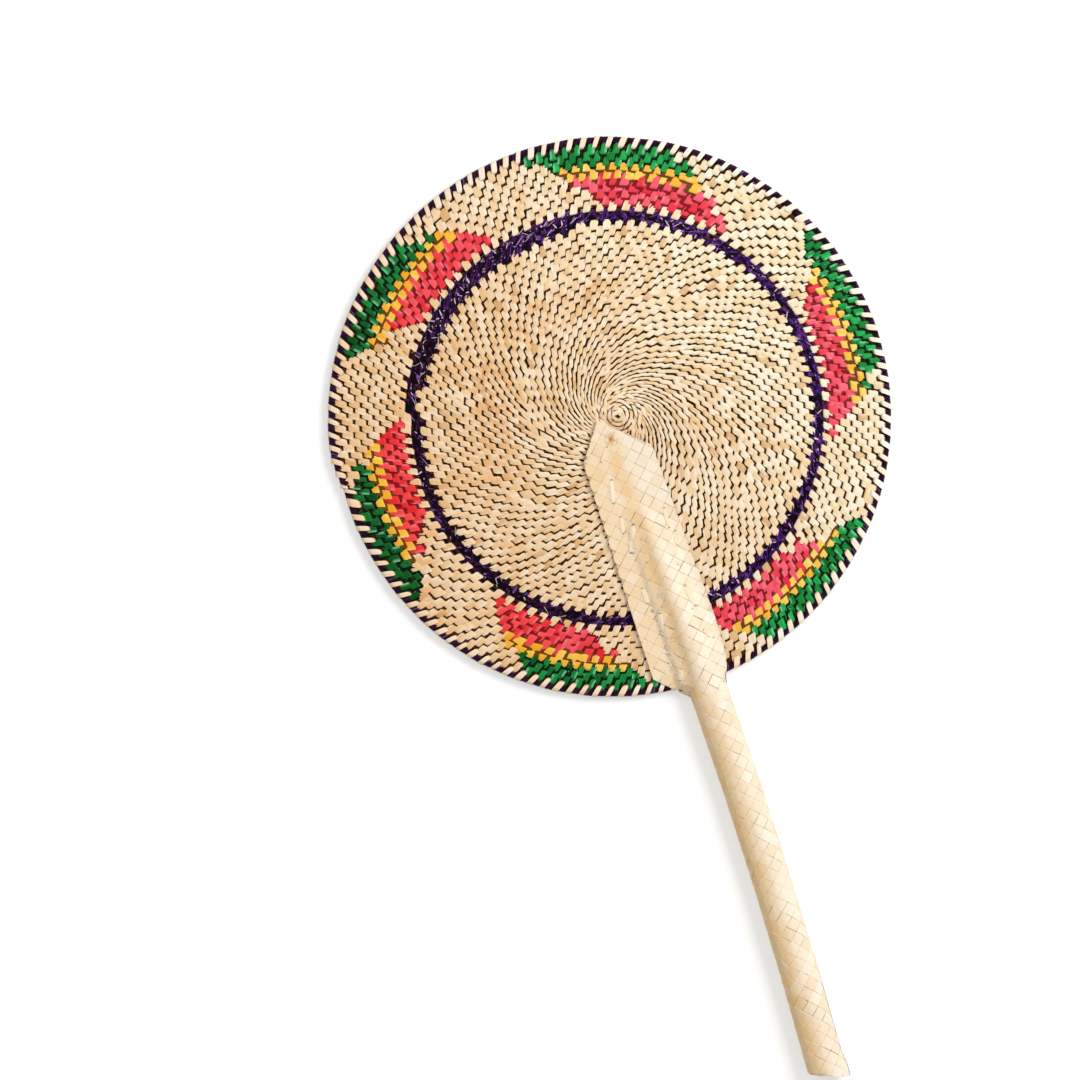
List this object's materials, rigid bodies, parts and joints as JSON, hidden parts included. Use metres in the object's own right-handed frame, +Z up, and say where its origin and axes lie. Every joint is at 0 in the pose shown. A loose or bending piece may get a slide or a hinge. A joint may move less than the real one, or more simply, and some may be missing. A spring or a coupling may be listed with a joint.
{
  "type": "woven reed fan",
  "caption": "Round coiled-straw hand fan with dyed border patches and a straight handle in a plaited sleeve, held in the hand and waved to move air.",
  "frame": {"origin": "centre of the disc, on the table that the back flap rests on", "axes": "+Z up out of the face of the disc, +Y along the handle's axis from the butt towards the disc, +X to the right seen from the front"},
  "size_m": [0.2786, 0.491, 0.015],
  "materials": {
    "natural_straw": "undyed straw, satin",
    "green_straw": "dyed straw, satin",
    "yellow_straw": "dyed straw, satin",
    "red_straw": "dyed straw, satin",
    "purple_straw": "dyed straw, glossy",
    "rim_purple_straw": "dark dyed straw",
    "plaited_leaf": "plaited leaf, satin",
    "sewing_straw": "flat straw strand",
    "stick_wood": "whittled, matt"
  },
  "bodies": {
    "root": {"coil": "natural_straw", "rim_binding": "rim_purple_straw", "ring_binding": "purple_straw", "patch_1_green_outer": "green_straw", "patch_1_green_inner": "green_straw", "patch_1_yellow": "yellow_straw", "patch_1_red_outer": "red_straw", "patch_1_red_inner": "red_straw", "patch_2_green_outer": "green_straw", "patch_2_green_inner": "green_straw", "patch_2_yellow": "yellow_straw", "patch_2_red_outer": "red_straw", "patch_2_red_inner": "red_straw", "patch_3_green_outer": "green_straw", "patch_3_green_inner": "green_straw", "patch_3_yellow": "yellow_straw", "patch_3_red_outer": "red_straw", "patch_3_red_inner": "red_straw", "patch_4_green_outer": "green_straw", "patch_4_green_inner": "green_straw", "patch_4_yellow": "yellow_straw", "patch_4_red_outer": "red_straw", "patch_4_red_inner": "red_straw", "patch_5_green_outer": "green_straw", "patch_5_green_inner": "green_straw", "patch_5_yellow": "yellow_straw", "patch_5_red_outer": "red_straw", "patch_5_red_inner": "red_straw", "patch_6_green_outer": "green_straw", "patch_6_green_inner": "green_straw", "patch_6_yellow": "yellow_straw", "patch_6_red_outer": "red_straw", "patch_6_red_inner": "red_straw", "plaited_sleeve": "plaited_leaf", "stick": "stick_wood", "sewing_strand_left": "sewing_straw", "sewing_strand_right": "sewing_straw"}
  },
  "joints": []
}
